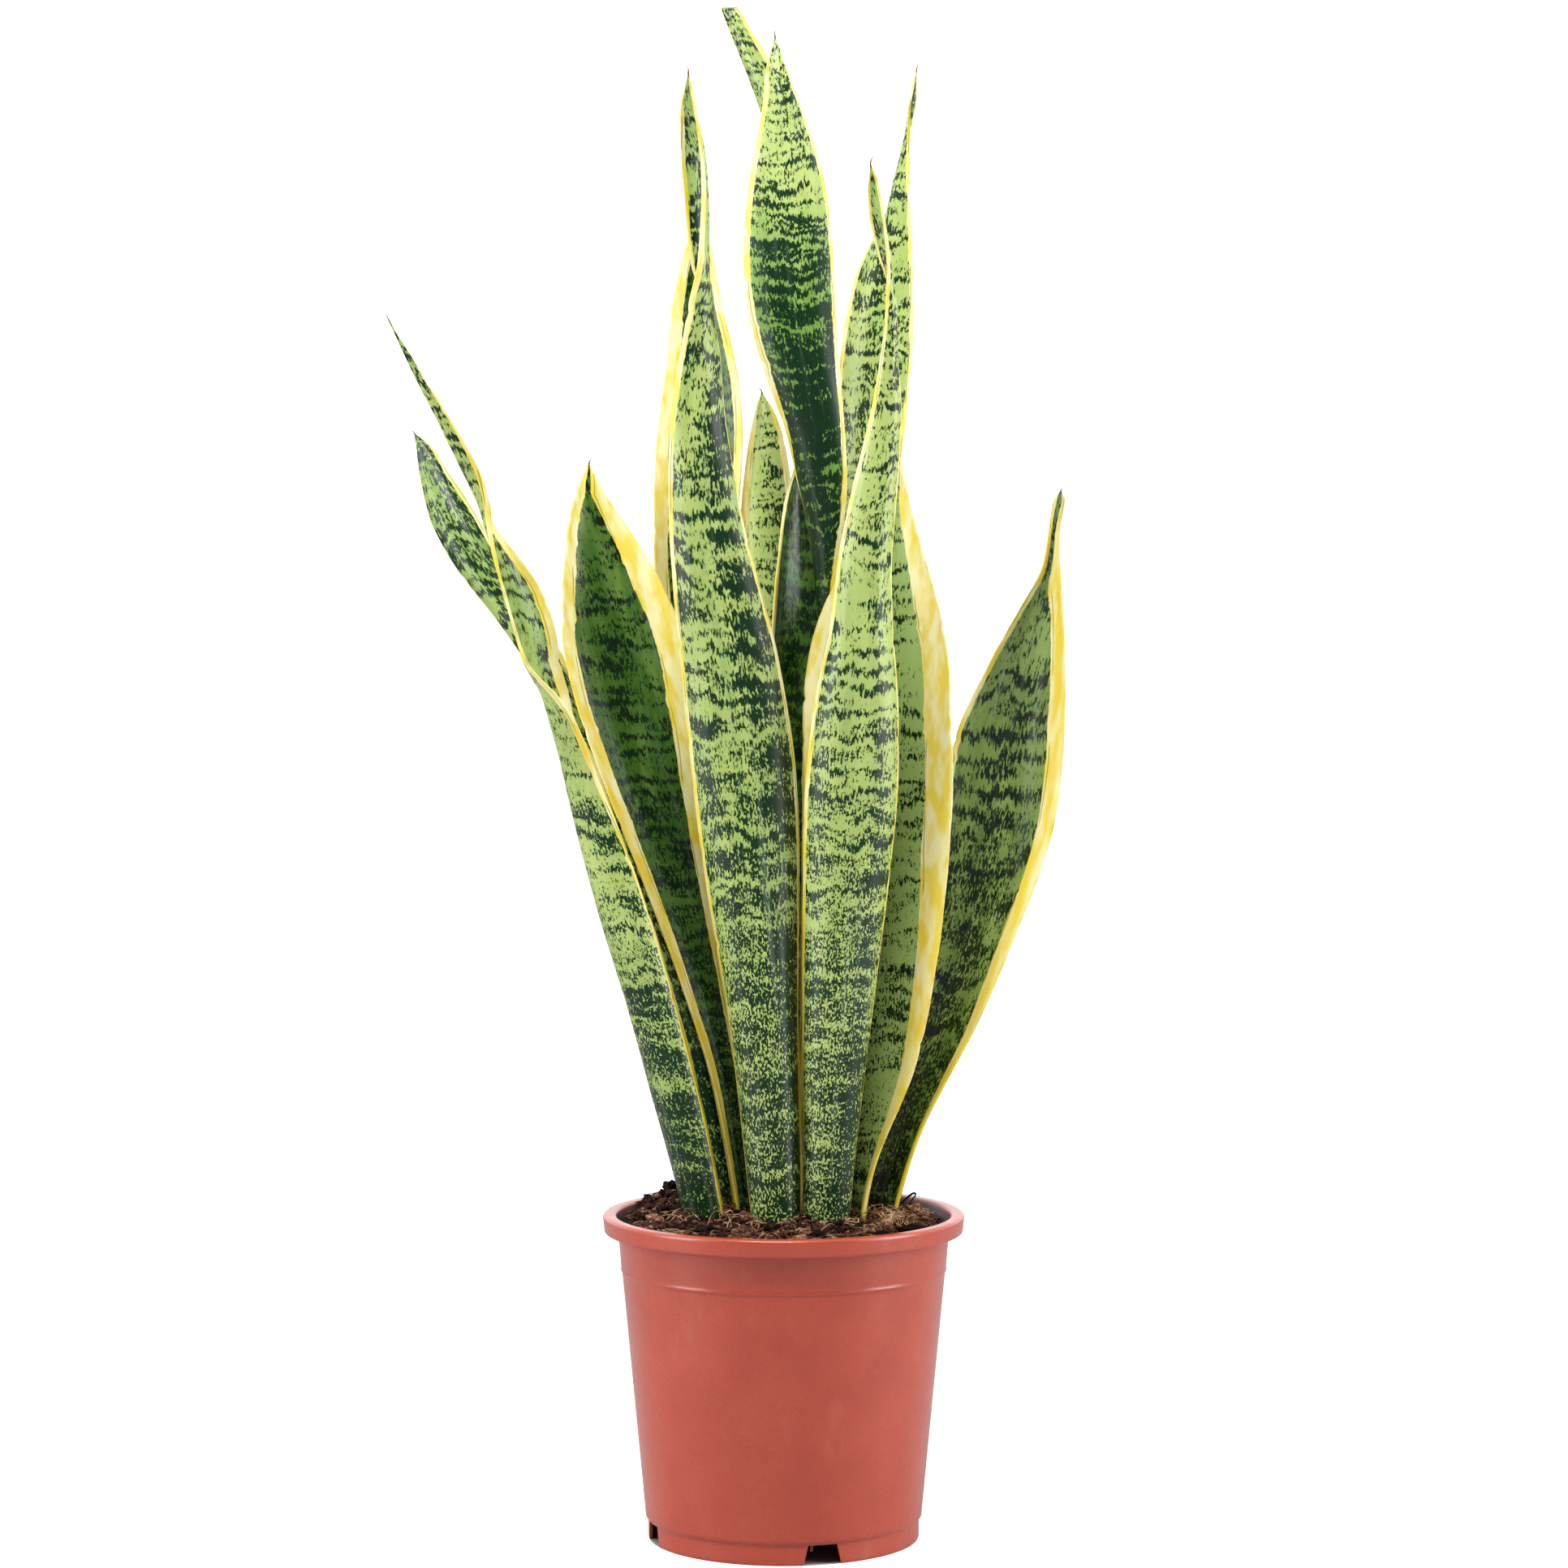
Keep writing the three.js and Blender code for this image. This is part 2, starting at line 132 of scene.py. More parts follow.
def leaf_material(name, pale, mid, dark, band_level, band_softness):
    material, tree, shader = new_material(name)
    blade = add(tree, "Attribute", {}, out="Vector", attribute_name="blade")
    rim = add(tree, "Attribute", {}, out="Vector", attribute_name="rim")
    look = add(tree, "Attribute", {}, out="Vector", attribute_name="look")
    blade_parts = add(tree, "SeparateXYZ", {0: blade}).node
    rim_parts = add(tree, "SeparateXYZ", {0: rim}).node
    look_parts = add(tree, "SeparateXYZ", {0: look}).node
    across, along, seed = blade_parts.outputs
    inside, edge, tip = rim_parts.outputs
    paleness, mealiness, dusk = look_parts.outputs

    def patches(width, length, detail=2.0, low=0.0, high=1.0, to=(0.0, 1.0)):
        """Noise that is this wide across the leaf and this long up it, brought to a range."""
        spots = cloud(tree, blade, (1 / width, 1 / length, 1), detail)
        return ranged(tree, spots, low, high, to, clamp=(low, high) != (0.0, 1.0))

    def total(*values):
        value = values[0]
        for other in values[1:]:
            value = add(tree, "Math", {0: value, 1: other}, operation="ADD")
        return value

    def times(a, b):
        return add(tree, "Math", {0: a, 1: b}, operation="MULTIPLY")

    def step(value, low, high, to=(0.0, 1.0)):
        return ranged(tree, value, low, high, to, interpolation_type="SMOOTHSTEP")

    # Cross bands: cloudy layers stacked up the leaf, bent into zigzags, with combed edges.
    zigzag = patches(15, 40, 1.0, to=(-10.0, 10.0))
    waver = patches(5, 20, 1.0, to=(-3.5, 3.5))
    combs = patches(COMB_WIDTH, COMB_LENGTH, 2.0, to=(-COMB_REACH / 2, COMB_REACH / 2))
    height = times(total(along, zigzag, waver, combs), 1 / BAND_PERIOD)
    layer = add(tree, "CombineXYZ", {0: times(across, 1 / 45), 1: height, 2: seed})
    bands = add(tree, "TexNoise", {"Vector": layer, "Scale": 1.0, "Detail": 0.6})
    grain = patches(GRAIN, GRAIN * 2.4, 1.0, to=(-0.5, 0.5))
    flecks = patches(1.4, 7, 1.0, to=(-0.34, 0.34))
    breaks = patches(6, 13, 1.0, to=(-0.12, 0.12))
    wide = patches(14, 70, 1.0, to=(-0.18, 0.18))
    # dusk darkens the leaf; it carries painted shade as well as the leaf's own tone.
    amount = total(bands, times(grain, mealiness), flecks, breaks, wide, dusk)
    dark_share = step(amount, band_level - band_softness, band_level + band_softness)

    # paleness lightens the ground; it carries painted light as well as the leaf's own tone.
    ground = blend(tree, total(paleness, patches(9, 60, 3.0, to=(-0.6, 0.6))), mid, pale)
    faint = step(amount, band_level - 0.12, band_level, (0.0, 0.35))
    ground = blend(tree, faint, ground, mid)
    skin = blend(tree, dark_share, ground, dark)
    # Long pale grey streaks up the leaf: waxy bloom, and painted sheen standing in for the lamps'
    # reflections on the fine ribs.
    bloom_and_sheen = patches(5, 150, 3.0, low=0.55, high=0.75, to=(0.0, 0.22))
    skin = blend(tree, bloom_and_sheen, skin, colour("#8fa096"))

    # The margin: cream, blotched with strong yellow, with now and then a thin green line in it.
    waves, hairs = patches(2.4, 32, 2.0, to=(-0.9, 0.9)), patches(0.9, 5, 1.0, to=(-0.5, 0.5))
    frayed = total(inside, waves, hairs)
    margin = blend(tree, patches(9, 30, 2.0, 0.4, 0.6), colour("#fbf2b8"), colour("#f3dc58"))
    margin = blend(tree, step(mealiness, 0.5, 1.7, (0.0, 0.85)), margin, colour("#e3cb22"))
    margin = blend(tree, patches(7, 22, 2.0, 0.52, 0.7, (0.0, 0.6)), margin, colour("#f0ce24"))
    wander = total(inside, patches(40, 90, 1.0, to=(-1.5, 4.5)))
    from_line = add(tree, "Math", {0: wander}, operation="ABSOLUTE")
    line = step(from_line, 0.15, 0.45, (1.0, 0.0))
    line = times(line, patches(60, 45, 1.0, 0.5, 0.56, (0.0, 0.75)))
    margin = blend(tree, line, margin, colour("#5d7a2c"))
    skin = blend(tree, step(frayed, -0.15, 0.3), margin, skin)
    dry = times(step(edge, 0.2, 0.55, (1.0, 0.0)), patches(30, 13, 2.0, 0.5, 0.7, (0.0, 0.45)))
    skin = blend(tree, dry, skin, colour("#b98d55"))
    withered = step(total(tip, patches(2, 6, 2.0, to=(-3.0, 3.0))), 0.0, 5.0, (1.0, 0.0))
    skin = blend(tree, withered, skin, colour("#6d5436"))
    tree.links.new(skin, shader.inputs["Base Color"])

    rough = total(patches(2.5, 40, 3.0, to=(0.22, 0.42)), times(withered, 0.4))
    tree.links.new(rough, shader.inputs["Roughness"])
    veins = total(patches(VEIN_PITCH, 90, 2.0), times(grain, 0.35))
    bump = add(tree, "Bump", {"Height": veins, "Strength": 0.35, "Distance": 0.00022})
    tree.links.new(bump, shader.inputs["Normal"])
    shader.inputs["IOR"].default_value = 1.4
    shader.inputs["Subsurface Weight"].default_value = 0.2
    shader.inputs["Subsurface Radius"].default_value = (1.0, 1.0, 0.4)
    shader.inputs["Subsurface Scale"].default_value = 0.002
    return material


LEAF_OUTER = leaf_material(
    "waxy_leaf_outer_face", colour("#b9cb76"), colour("#749a42"), colour("#0a2e16"), 0.53, 0.045
)
LEAF_INNER = leaf_material(
    "waxy_leaf_inner_face", colour("#a4bf6c"), colour("#3f661c"), colour("#06200e"), 0.56, 0.045
)

# ---- leaves --------------------------------------------------------------------------------
# The paleness and darkness in the look rows paint light and shade as well as each leaf's own tone: a leaf
# in the shade of others is made paler, and its shaded parts are made darker.
# look: rows of (share of the way up, how pale the ground is, how mealy, how dark).
# pitch: of the bands beside the usual one.
# nudge: rows of (share of the way up, shift to the right of the CAD solid at margin A, at margin B).
# stripe: a darker stripe up the leaf (place from -1 at margin A to 1 at margin B, half-width,
#   strength), with how far the bands sag in the middle.
# margins: rows of (share of the way up, width of the yellow at margin A, at margin B).
# thread: (length of the dried point, how far it turns to the right, in degrees).
LEAVES = {
    "front_center": {
        "look": [(0, 0.9, 1.1, 0.06), (0.3, 0.7, 1, 0.02), (0.6, 0.8, 0.8, -0.02),
                 (0.8, 0.9, 0.5, -0.07), (1, 0.9, 0.5, -0.05)],
        "pitch": 1.0,
        "nudge": [],
        "stripe": (0.6, 10, 0.13, 2),
        "margins": [(0, 2.6, 2.4), (0.3, 3.6, 3.2), (0.6, 3.8, 3.0), (0.66, 3.8, 1), (0.8, 3.4, 1.5),
                    (1, 2.5, 3)],
        "thread": (5, -12),
    },
    "front_right": {
        "look": [(0, 1, 1.1, 0.06), (0.35, 0.8, 0.9, -0.01), (0.6, 0.9, 0.8, -0.09),
                 (1, 1.2, 0.4, -0.08)],
        "pitch": 0.85,
        "nudge": [],
        "stripe": (0.5, 5, 0.12, 3),
        "margins": [(0, 1.8, 1.2), (0.2, 3.4, 1.4), (0.5, 4.2, 1.6), (0.8, 3.8, 1.4), (1, 2.5, 3)],
        "thread": (7, 60),
    },
    "front_left_folded": {
        "look": [(0, 0.2, 1, 0.27), (0.15, 0.4, 1, 0.14), (0.3, 0.7, 0.9, -0.04),
                 (0.42, 0.8, 0.8, -0.08), (1, 0.8, 0.3, -0.03)],
        "pitch": 0.9,
        "nudge": [],
        "stripe": (-0.7, 11, 0.07, 0),
        "margins": [(0, 1, 1), (0.4, 3.4, 1.8), (0.6, 7.5, 4.2), (0.8, 6, 4), (1, 2, 2)],
        "thread": (7, 8),
    },
    "back_left_leaning": {
        # Painted shade: darker low down, where the leaf stands in shade.
        "look": [(0, 0.1, 0.9, 0.12), (0.25, 0.2, 0.8, 0.08), (0.5, 0.6, 0.4, 0.02),
                 (1, 0.3, 0.3, 0.03)],
        "pitch": 1.0,
        "nudge": [],
        "stripe": (0, 6, 0.03, -9),
        "margins": [(0, 2, 3), (0.7, 1.8, 5), (0.85, 0.6, 5), (1, 0.4, 3)],
        "thread": (3, -10),
    },
    "left_broad": {
        "look": [(0, -0.1, 0.9, 0.08), (0.4, -0.1, 0.5, 0.03), (1, 0.1, 0.4, -0.01)],
        "pitch": 0.8,
        "nudge": [],
        "stripe": (-0.3, 7, 0.03, 2),
        "margins": [(0, 4, 4), (0.25, 9, 15), (0.6, 10, 22), (0.85, 9, 19), (1, 6, 6)],
        "thread": (6, 95),
    },
    "right_broad": {
        # Painted light: this leaf stands in the shade of others, so its ground is made much paler.
        "look": [(0, 1.2, 0.5, -0.08), (0.5, 1.3, 0.5, -0.09), (1, 1, 0.5, -0.04)],
        "pitch": 0.85,
        "nudge": [],
        "stripe": (-0.2, 6, 0.03, 2),
        "margins": [(0, 3, 3), (0.12, 5, 5), (0.25, 10, 12), (0.5, 13, 19.5), (0.8, 11, 17), (1, 4, 4)],
        "thread": (3, 0),
    },
    "right_leaning": {
        "look": [(0, 0.3, 1, 0.16), (0.25, 0.4, 0.7, 0.06), (0.8, 0.6, 0.3, -0.02), (1, 0.5, 0.3, 0)],
        "pitch": 1.3,
        "nudge": [(0, -1, 0), (0.06, -5, 0), (0.17, -5, 0), (0.3, 0, 0)],
        "stripe": (0.1, 6, 0.03, 3),
        "margins": [(0, 1, 0.8), (0.16, 1.8, 3.5), (0.4, 2.6, 13), (0.7, 3, 14.5), (0.9, 3.6, 11),
                    (1, 5, 5)],
        "thread": (2, 0),
    },
    "center_tall": {
        # Painted shade: much darker in its lower middle, where the leaf stands in shade.
        "look": [(0, -0.2, 0.8, 0.12), (0.72, -0.3, 0.4, 0.18), (0.8, 0.2, 0.3, 0.08),
                 (0.88, 1, 0.2, -0.05), (1, 1, 0.2, -0.03)],
        "pitch": 0.68,
        "nudge": [(0, 0, 0), (0.45, 0, 1), (0.53, 0, 4), (0.62, 0, 4), (0.75, 0, 0)],
        "stripe": (0.05, 4, 0.05, 6),
        "margins": [(0, 2.2, 2.6), (0.5, 4, 3.4), (0.75, 5.2, 3.2), (1, 3.4, 2.2)],
        "thread": (4, -5),
    },
    "center_short": {
        "look": [(0, 0, 0.6, 0.09), (1, -0.1, 0.5, 0.06)],
        "pitch": 0.9,
        "nudge": [(0, 0, 0), (0.6, 1, 1), (1, 6, 6)],
        "stripe": (0.4, 6, 0.03, 0),
        "margins": [(0, 2, 2), (0.6, 4.4, 4.4), (1, 2, 2)],
        "thread": (3, -10),
    },
    "back_center_short": {
        "look": [(0, 0.7, 0.6, 0), (1, 1.1, 0.4, -0.08)],
        "pitch": 0.75,
        "nudge": [],
        "stripe": (0, 6, 0.02, 0),
        "margins": [(0, 3, 3), (0.6, 8, 6), (0.9, 6.5, 5), (1, 3, 3)],
        "thread": (6, -75),
    },
    "back_left_broad": {
        "look": [(0, 0.1, 0.6, 0), (1, 0.1, 0.5, 0)],
        "pitch": 0.8,
        "nudge": [],
        "stripe": (0, 6, 0.02, 0),
        "margins": [(0, 3, 3), (0.5, 10, 7), (0.85, 9, 6), (1, 4, 4)],
        "thread": (3, 0),
    },
    "back_center_tallest": {
        "look": [(0, 0.5, 0.6, 0), (1, 0.7, 0.4, -0.02)],
        "pitch": 0.75,
        "nudge": [],
        "stripe": (0.3, 5, 0.03, 0),
        "margins": [(0, 1, 2), (0.6, 1, 4.2), (1, 0.8, 4.2)],
        "thread": None,
    },
    "back_right_twisted": {
        "look": [(0, 0.9, 0.6, 0), (0.5, 1.2, 0.5, -0.1), (1, 0.6, 0.4, 0)],
        "pitch": 0.8,
        "nudge": [],
        "stripe": (0, 4, 0.09, 2),
        "margins": [(0, 3, 2), (0.5, 6.5, 2.8), (0.8, 5, 2.8), (1, 2, 2)],
        "thread": (5, 15),
    },
}
CAD_FACE_STEPS = 6  # facets across one face of a CAD leaf
FACE_STEPS = 30
STATION_PITCH = 2.4
EDGE_THICKNESS = 1.5
THREAD_RADIUS = 0.8
NICKS = 9  # small dents in a leaf's margins
RIPPLE_LENGTH = 26
RIPPLE_DEPTH = 0.45
MEALY_FROM, MEALY_RUN = 190, 330  # height where the mealy foot is strongest, and how far it fades


def walked(layer):
    """These vertices in order along the line or ring that joins them."""
    members = set(layer)
    near = {v: [e.other_vert(v) for e in v.link_edges if e.other_vert(v) in members] for v in layer}
    ends = [v for v in layer if len(near[v]) == 1] or layer
    order = [min(ends, key=lambda v: v.co.x - 0.2 * v.co.y)]
    while len(order) < len(layer):
        order.append(next(v for v in near[order[-1]] if v not in order))
    return [v.co.copy() for v in order]


def doubled(line):
    """A line across the leaf as a ring: there on the outer face and back on the inner one."""
    return line + line[-2:0:-1]


def nearest_order(ring, guide):
    """The ring started and turned so that its points lie closest to the guide's."""
    turns = [ring[i:] + ring[:i] for i in range(len(ring))]
    turns += [turn[::-1] for turn in turns]
    middle = sum(ring, Vector()) / len(ring) - sum(guide, Vector()) / len(guide)
    return min(turns, key=lambda t: sum((a - b - middle).length_squared for a, b in zip(t, guide)))


def cad_rings(node):
    """The CAD leaf's sections from foot to tip, each a ring of points that starts at margin A."""
    bm = bmesh.new()
    bm.from_mesh(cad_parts[node].data)
    bmesh.ops.remove_doubles(bm, verts=bm.verts, dist=1e-6)
    foot = min(v.co.z for v in bm.verts) + 0.01 * MM
    layer = [v for v in bm.verts if v.co.z < foot]
    seen = set(layer)
    around = 2 * CAD_FACE_STEPS
    rings = [doubled(walked(layer))]
    while True:
        layer = list({e.other_vert(v) for v in layer for e in v.link_edges} - seen)
        if not layer:
            break
        seen.update(layer)
        points = walked(layer) if len(layer) > 1 else [layer[0].co.copy()] * around
        if len(layer) == CAD_FACE_STEPS + 1:
            points = doubled(points)
        rings.append(nearest_order(points, rings[-1]))
    bm.free()
    return rings


def spline(rows, where):
    """Catmull-Rom through the rows of an array, at fractional row numbers."""
    last = len(rows) - 1
    base = np.clip(np.floor(where).astype(int), 0, last - 1)
    t = (where - base)[:, None]
    p0, p1 = rows[np.clip(base - 1, 0, last)], rows[base]
    p2, p3 = rows[base + 1], rows[np.clip(base + 2, 0, last)]
    return 0.5 * (
        2 * p1 + (p2 - p0) * t + (2 * p0 - 5 * p1 + 4 * p2 - p3) * t**2
        + (3 * p1 - p0 - 3 * p2 + p3) * t**3
    )


def unit(rows):
    return rows / np.maximum(np.linalg.norm(rows, axis=1, keepdims=True), 1e-12)


def clouds(points, seed):
    """Smooth noise from -1 to 1 at each (x, y)."""
    return np.array([noise.noise(Vector((x, y, seed))) for x, y in points])


def make_leaf(name, seed, look, pitch, nudge, stripe, margins, thread):
    rings = np.array([[list(p) for p in ring] for ring in cad_rings("leaf_" + name)]) / MM
    half_way = CAD_FACE_STEPS // 2
    near_side, far_side = rings[:, half_way], rings[:, -half_way]
    middle = (near_side + far_side) / 2
    margin_a, margin_b = rings[:, 0], rings[:, CAD_FACE_STEPS]
    out = near_side - far_side
    bow = middle - (margin_a + margin_b) / 2
    if np.sum(bow * out) < 0:  # the outer face is the one that bulges
        out = -out

    # Stations up the leaf, evenly spaced.
    spans = np.linalg.norm(np.diff(middle, axis=0), axis=1)
    reached = np.concatenate([[0], np.cumsum(spans)])
    length = reached[-1]
    count = int(length / STATION_PITCH)
    along = np.linspace(0, length, count + 1)
    where = np.interp(along, reached, np.arange(len(reached)))
    a, b, mid = (spline(rows, where) for rows in (margin_a, margin_b, middle))
    nudged_at = [n[0] for n in nudge] or [0]
    for rows, shares in ((a, (1, 0)), (b, (0, 1)), (mid, (0.5, 0.5))):
        for side in (0, 1):
            shift = [n[1 + side] for n in nudge] or [0]
            rows[:, 0] += shares[side] * np.interp(along / length, nudged_at, shift)
    outward = spline(out, where)
    thickness = np.linalg.norm(outward, axis=1)

    chord = b - a
    width = np.linalg.norm(chord, axis=1)
    firm = width > 3
    last_firm = np.nonzero(firm)[0][-1]
    for row in range(last_firm + 1, len(chord)):
        chord[row], outward[row] = chord[last_firm], outward[last_firm]
    chord = unit(chord)
    outward[0] = outward[1]
    outward = unit(outward - chord * np.sum(outward * chord, axis=1, keepdims=True))
    centre = (a + b) / 2
    rise = np.sum((mid - centre) * outward, axis=1)

    if thread:  # the point dries to a thread that bends over
        thread_length, thread_turn = thread
        thin = THREAD_RADIUS * np.clip((length - along) / 12, 0, 1) * 0.3 + THREAD_RADIUS * 0.7
        steps = max(4, int(thread_length / 0.8))
        heading = unit((centre[-1] - centre[-6])[None])[0]
        points, place = [], centre[-1]
        for i in range(steps):
            turn = Matrix.Rotation(math.radians(thread_turn / steps), 3, "Y")
            heading = np.array(turn @ Vector(heading))
            place = place + heading * thread_length / steps
            points.append(place)
        grown = thread_length * (np.arange(steps) + 1) / steps
        centre = np.vstack([centre, points])
        chord = np.vstack([chord, np.repeat(chord[-1:], steps, axis=0)])
        outward = np.vstack([outward, np.repeat(outward[-1:], steps, axis=0)])
        taper = THREAD_RADIUS * (0.7 - 0.5 * grown / thread_length)
        half = np.concatenate([np.maximum(width / 2, thin), taper])
        rise = np.concatenate([rise, np.zeros(steps)])
        thickness = np.concatenate([np.maximum(thickness, 1.6 * thin), 2 * taper])
        along = np.concatenate([along, length + grown])
    else:  # cut straight across
        half = width / 2
        thickness[-1] = thickness[-2]
    # Closed ends: the last section once more, with no thickness left.
    centre, chord, outward = (np.vstack([rows, rows[-1:]]) for rows in (centre, chord, outward))
    half, rise, along = (np.append(rows, rows[-1]) for rows in (half, rise, along))
    thickness = np.append(thickness, 0)

    rise = np.where(np.abs(rise) < 1e-3, 1e-3, rise)
    bend = 2 * np.arctan(rise / half)
    radius = half / np.sin(bend)
    arc = 2 * radius * bend
    steps_up = len(along) - 1

    # The sections: an arc from margin A to margin B, thick in the middle, blunt at the margins.
    u = np.arange(2 * FACE_STEPS + 1)
    outer = u <= FACE_STEPS
    s = -np.cos(np.pi * np.where(outer, u, 2 * FACE_STEPS - u) / FACE_STEPS)
    share = np.clip(along / length, 0, 1)
    wide_a = np.interp(share, [m[0] for m in margins], [m[1] for m in margins])
    wide_b = np.interp(share, [m[0] for m in margins], [m[2] for m in margins])
    narrow = np.clip(arc / 20, 0.12, 1)

    rng = random.Random(seed)
    nicks = [
        (rng.uniform(0.25, 0.97) * length, rng.choice((-1, 1)), rng.uniform(0.5, 1.3))
        for _ in range(NICKS)
    ]
    ripple_a = clouds([(x / RIPPLE_LENGTH, 0) for x in along], seed + 0.3)
    ripple_b = clouds([(x / RIPPLE_LENGTH, 9) for x in along], seed + 0.3)

    places = np.zeros((steps_up + 1, len(u), 3))
    blade = np.zeros_like(places)
    rim = np.zeros_like(places)
    striped = np.zeros(places.shape[:2])
    for k in range(steps_up + 1):
        room = min(1.0, arc[k] / 16)
        inset_a = RIPPLE_DEPTH * room * (ripple_a[k] + 0.4)
        inset_b = RIPPLE_DEPTH * room * (ripple_b[k] + 0.4)
        for at, side, deep in nicks:
            dent = deep * room * math.exp(-(((along[k] - at) / 2.2) ** 2))
            inset_a += dent if side < 0 else 0
            inset_b += dent if side > 0 else 0
        low, high = -1 + 2 * inset_a / arc[k], 1 - 2 * inset_b / arc[k]
        seat = low + (s + 1) / 2 * (high - low)
        angle = seat * bend[k]
        across = seat * arc[k] / 2
        from_edge = (1 - np.abs(s)) * arc[k] / 2
        edge_thick = min(EDGE_THICKNESS, thickness[k])
        full = edge_thick + (thickness[k] - edge_thick) * (1 - s**2)
        blunt = np.clip(from_edge / max(edge_thick / 2, 1e-6), 0, 1)
        lift = full / 2 * np.sqrt(1 - (1 - blunt) ** 2) * np.where(outer, 1, -1)
        wave = 0.32 * clouds([(x / 7, along[k] / 150) for x in across], seed)
        wave += 0.09 * clouds([(x / 2.3, along[k] / 60) for x in across], seed + 50)
        lift = lift + wave * room
        over = radius[k] * np.sin(angle) + lift * np.sin(angle)
        up = radius[k] * (np.cos(angle) - math.cos(bend[k])) + lift * np.cos(angle)
        places[k] = centre[k] + over[:, None] * chord[k] + up[:, None] * outward[k]
        to_a, to_b = (1 + s) * arc[k] / 2, (1 - s) * arc[k] / 2
        inside = np.minimum(to_a - wide_a[k] * narrow[k], to_b - wide_b[k] * narrow[k])
        banded = (along[k] + stripe[3] * room * (1 - seat**2)) / pitch
        blade[k] = np.column_stack([across, banded, np.full(len(u), 7.0 * seed)])
        striped[k] = stripe[2] * np.exp(-(((seat - stripe[0]) * arc[k] / 2 / stripe[1]) ** 2))
        rim[k] = np.column_stack([inside, from_edge, np.full(len(u), length - along[k])])
    if not thread:
        rim[:, :, 2] += 40

    low_down = np.clip(1 - (places[:, :, 2] - MEALY_FROM) / MEALY_RUN, 0, 1)
    pale, mealy, dusk = (np.interp(share, [r[0] for r in look], [r[i] for r in look])[:, None]
                         for i in (1, 2, 3))
    looks = np.dstack([
        pale + 0.3 * low_down**2,
        0.4 + mealy * 1.7 * low_down,
        dusk + striped + 0.11 * low_down**2,
    ])

    bm = bmesh.new()
    bmesh.ops.create_grid(bm, x_segments=2 * FACE_STEPS, y_segments=steps_up, size=0.5)
    layers = [bm.verts.layers.float_vector.new(n) for n in ("blade", "rim", "look")]
    for face in bm.faces:
        face.material_index = 0 if face.calc_center_median().x < 0 else 1
    for vert in bm.verts:
        i = round((vert.co.x + 0.5) * 2 * FACE_STEPS)
        k = round((vert.co.y + 0.5) * steps_up)
        vert.co = places[k, i] * MM
        for layer, values in zip(layers, (blade, rim, looks)):
            vert[layer] = values[k, i]
    bmesh.ops.remove_doubles(bm, verts=bm.verts, dist=1e-6)
    bmesh.ops.dissolve_degenerate(bm, edges=bm.edges, dist=1e-7)
    bmesh.ops.recalc_face_normals(bm, faces=bm.faces)
    return finished(name + "_leaf", bm, [LEAF_OUTER, LEAF_INNER], "leaf", "leaf_" + name)


for number, (leaf_name, facts) in enumerate(LEAVES.items()):
    make_leaf(leaf_name, number + 1, **facts)


# ---- pot -----------------------------------------------------------------------------------
# Injection-moulded polypropylene in terracotta colour: one even satin skin with a faint orange
# peel, slightly cloudy pigment, and pale scuffs and specks of dust from handling.
INNER_WALL_SHADE_STRENGTH = 0.92


def pot_material():
    material, tree, shader = new_material("moulded_polypropylene")
    place = add(tree, "TexCoord", {}, out="Object")

    def clouds_at(size, detail, low, high, to=(0.0, 1.0), stretch=1.0):
        scale = (1 / size, 1 / size, 1 / size / stretch)
        return ranged(tree, cloud(tree, place, scale, detail), low, high, to)

    skin = blend(tree, clouds_at(0.03, 3.0, 0.35, 0.65), colour("#b5412a"), colour("#bd4930"))
    skin = blend(tree, clouds_at(0.0016, 2.0, 0.4, 0.62, (0.0, 0.3)), skin, colour("#a03f2a"))
    scuffs = clouds_at(0.02, 6.0, 0.6, 0.8, (0.0, 0.12), stretch=2.0)
    skin = blend(tree, scuffs, skin, colour("#d9a596"))
    specks = clouds_at(0.0015, 1.0, 0.82, 0.84, (0.0, 0.6))
    skin = blend(tree, specks, skin, colour("#e8cdbf"))
    flat = add(tree, "VectorMath", {0: place, 1: (1, 1, 0)}, operation="MULTIPLY")
    away = add(tree, "VectorMath", {0: flat, 1: POT_AXIS}, operation="SUBTRACT")
    radius = add(tree, "VectorMath", {0: away}, out="Value", operation="LENGTH")
    height = add(tree, "SeparateXYZ", {0: place}, out="Z")
    # Painted shade: the inner wall of the rim above the soil is darkened to dark brown, and its roughness
    # is raised there too.
    inner = ranged(tree, radius, 0.0968, 0.0975, (INNER_WALL_SHADE_STRENGTH, 0.0))
    upper = ranged(tree, height, 0.179, 0.1795)
    inner_wall_shade = add(tree, "Math", {0: inner, 1: upper}, operation="MULTIPLY")
    skin = blend(tree, inner_wall_shade, skin, colour("#2e120c"))  # painted shade: the inner wall above the soil made dark brown
    tree.links.new(skin, shader.inputs["Base Color"])
    rough = clouds_at(0.012, 4.0, 0.3, 0.7, (0.24, 0.34))
    rough = add(tree, "Math", {0: rough, 1: scuffs}, operation="ADD")
    rough = add(tree, "Math", {0: inner_wall_shade, 1: 0.5, 2: rough}, operation="MULTIPLY_ADD")
    tree.links.new(rough, shader.inputs["Roughness"])
    peel = clouds_at(0.0013, 2.0, 0.0, 1.0)
    bump = add(tree, "Bump", {"Height": peel, "Strength": 0.15, "Distance": 0.00015})
    tree.links.new(bump, shader.inputs["Normal"])
    shader.inputs["IOR"].default_value = 1.49
    shader.inputs["Coat Weight"].default_value = 0.6
    shader.inputs["Coat Roughness"].default_value = 0.3
    return material


POT_SIDES = 160
NOTCH_ANGLE = math.radians(-73.6)
NOTCHES = 4
RIBS = 8
DRAINS = 8  # in a ring, with one more in the middle
DRAIN_RADIUS = 5
FOOT_INSIDE = 77.0
